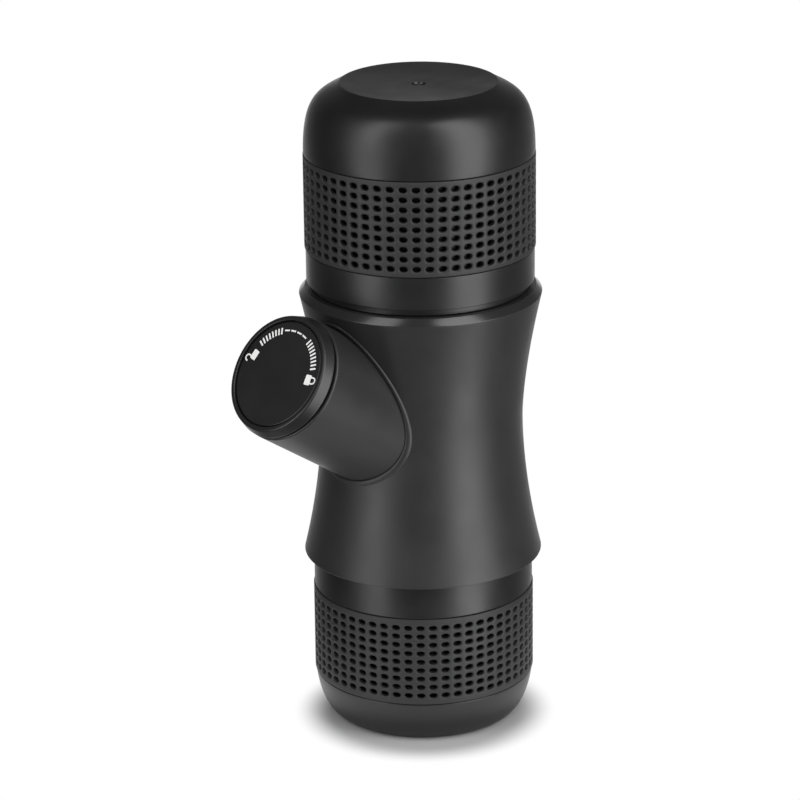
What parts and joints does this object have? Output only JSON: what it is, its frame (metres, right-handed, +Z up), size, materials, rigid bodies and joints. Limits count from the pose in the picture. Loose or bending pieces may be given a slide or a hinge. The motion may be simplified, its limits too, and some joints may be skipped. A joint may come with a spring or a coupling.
{
  "type": "handheld manual espresso maker",
  "caption": "Handheld pump espresso maker: water tank with grip band below, waisted body with slanted push knob, and brewing head under an inverted cup.",
  "frame": {"origin": "centre of the flat face under the water tank that the maker stands on", "axes": "+Z up along the body's axis towards the cup; the pump and its knob lean out towards -X; +Y completes the right-handed frame"},
  "size_m": [0.0909, 0.0642, 0.175],
  "materials": {
    "body_plastic": "fine satin moulded black plastic",
    "band_plastic": "matt charcoal moulded plastic with round dimples",
    "knob_plastic": "satin moulded black plastic",
    "disc_plastic": "smooth black plastic inlay with white printed marks",
    "inner_plastic": "plain moulded dark grey plastic inside the body",
    "seal_rubber": "soft red-brown silicone seals",
    "steel": "brushed and stamped stainless steel"
  },
  "bodies": {
    "water_tank": {"water_tank": "body_plastic", "tank_grip_band": "band_plastic"},
    "tank_seal": {"tank_seal": "seal_rubber"},
    "main_body": {"body_shell": "body_plastic", "tank_socket": "inner_plastic", "inlet_strainer": "steel", "socket_screws": "steel", "pump_block": "inner_plastic", "brew_chamber": "inner_plastic", "chamber_screws": "steel", "riser_seal": "seal_rubber", "piston_sleeve": "body_plastic", "sleeve_ring": "inner_plastic", "rod_guide": "inner_plastic", "piston_spring": "steel", "inlet_seat": "seal_rubber", "inlet_spring": "steel", "outlet_seat": "seal_rubber", "outlet_spring": "steel", "outlet_cage": "inner_plastic", "basket_gasket": "seal_rubber"},
    "piston": {"piston_rod": "steel", "piston_head": "inner_plastic", "piston_seals": "seal_rubber", "rod_clip": "steel"},
    "knob": {"plunger": "knob_plastic", "knob_cap": "knob_plastic", "knob_disc": "disc_plastic", "knob_screws": "steel"},
    "inlet_valve": {"inlet_poppet": "inner_plastic"},
    "outlet_valve": {"outlet_poppet": "inner_plastic"},
    "filter_basket": {"filter_basket": "steel"},
    "scoop": {"scoop": "body_plastic"},
    "head_seal": {"head_seal": "seal_rubber"},
    "outlet_head": {"outlet_head": "body_plastic", "head_screen": "steel", "screen_nut": "inner_plastic", "cup_ring": "seal_rubber"},
    "cup": {"cup": "body_plastic", "cup_grip_band": "band_plastic"}
  },
  "joints": [
    {"name": "body_lift", "type": "slide", "parent": "water_tank", "child": "tank_seal", "axis": [0, 0, 1], "range_m": [0, 0.03]},
    {"name": "body_turn", "type": "hinge", "parent": "tank_seal", "child": "main_body", "pos_m": [0, 0, 0.046], "axis": [0, 0, 1], "range_deg": [0, 270]},
    {"name": "basket_lift", "type": "slide", "parent": "main_body", "child": "filter_basket", "axis": [0, 0, 1], "range_m": [0, 0.025]},
    {"name": "scoop_lift", "type": "slide", "parent": "filter_basket", "child": "scoop", "axis": [0, 0, 1], "range_m": [0, 0.025]},
    {"name": "head_lift", "type": "slide", "parent": "scoop", "child": "head_seal", "axis": [0, 0, 1], "range_m": [0, 0.03]},
    {"name": "head_turn", "type": "hinge", "parent": "head_seal", "child": "outlet_head", "pos_m": [0, 0, 0.1203], "axis": [0, 0, 1], "range_deg": [0, 270]},
    {"name": "cup_lift", "type": "slide", "parent": "outlet_head", "child": "cup", "axis": [0, 0, 1], "range_m": [0, 0.055]},
    {"name": "pump_stroke", "type": "slide", "parent": "main_body", "child": "piston", "axis": [-0.8377, 0, 0.5461], "range_m": [0, 0.028], "deforming": ["piston_spring"]},
    {"name": "knob_turn", "type": "hinge", "parent": "piston", "child": "knob", "pos_m": [0, 0, 0.0744], "axis": [-0.8377, 0, 0.5461], "range_deg": [0, 60]},
    {"name": "inlet_valve_lift", "type": "slide", "parent": "main_body", "child": "inlet_valve", "axis": [0, 0, 1], "range_m": [0, 0.0012], "stiffness_N_per_m": 120, "springref_m": -0.002, "deforming": ["inlet_spring"]},
    {"name": "outlet_valve_lift", "type": "slide", "parent": "main_body", "child": "outlet_valve", "axis": [0, 0, 1], "range_m": [0, 0.0012], "stiffness_N_per_m": 120, "springref_m": -0.002, "deforming": ["outlet_spring"]}
  ]
}
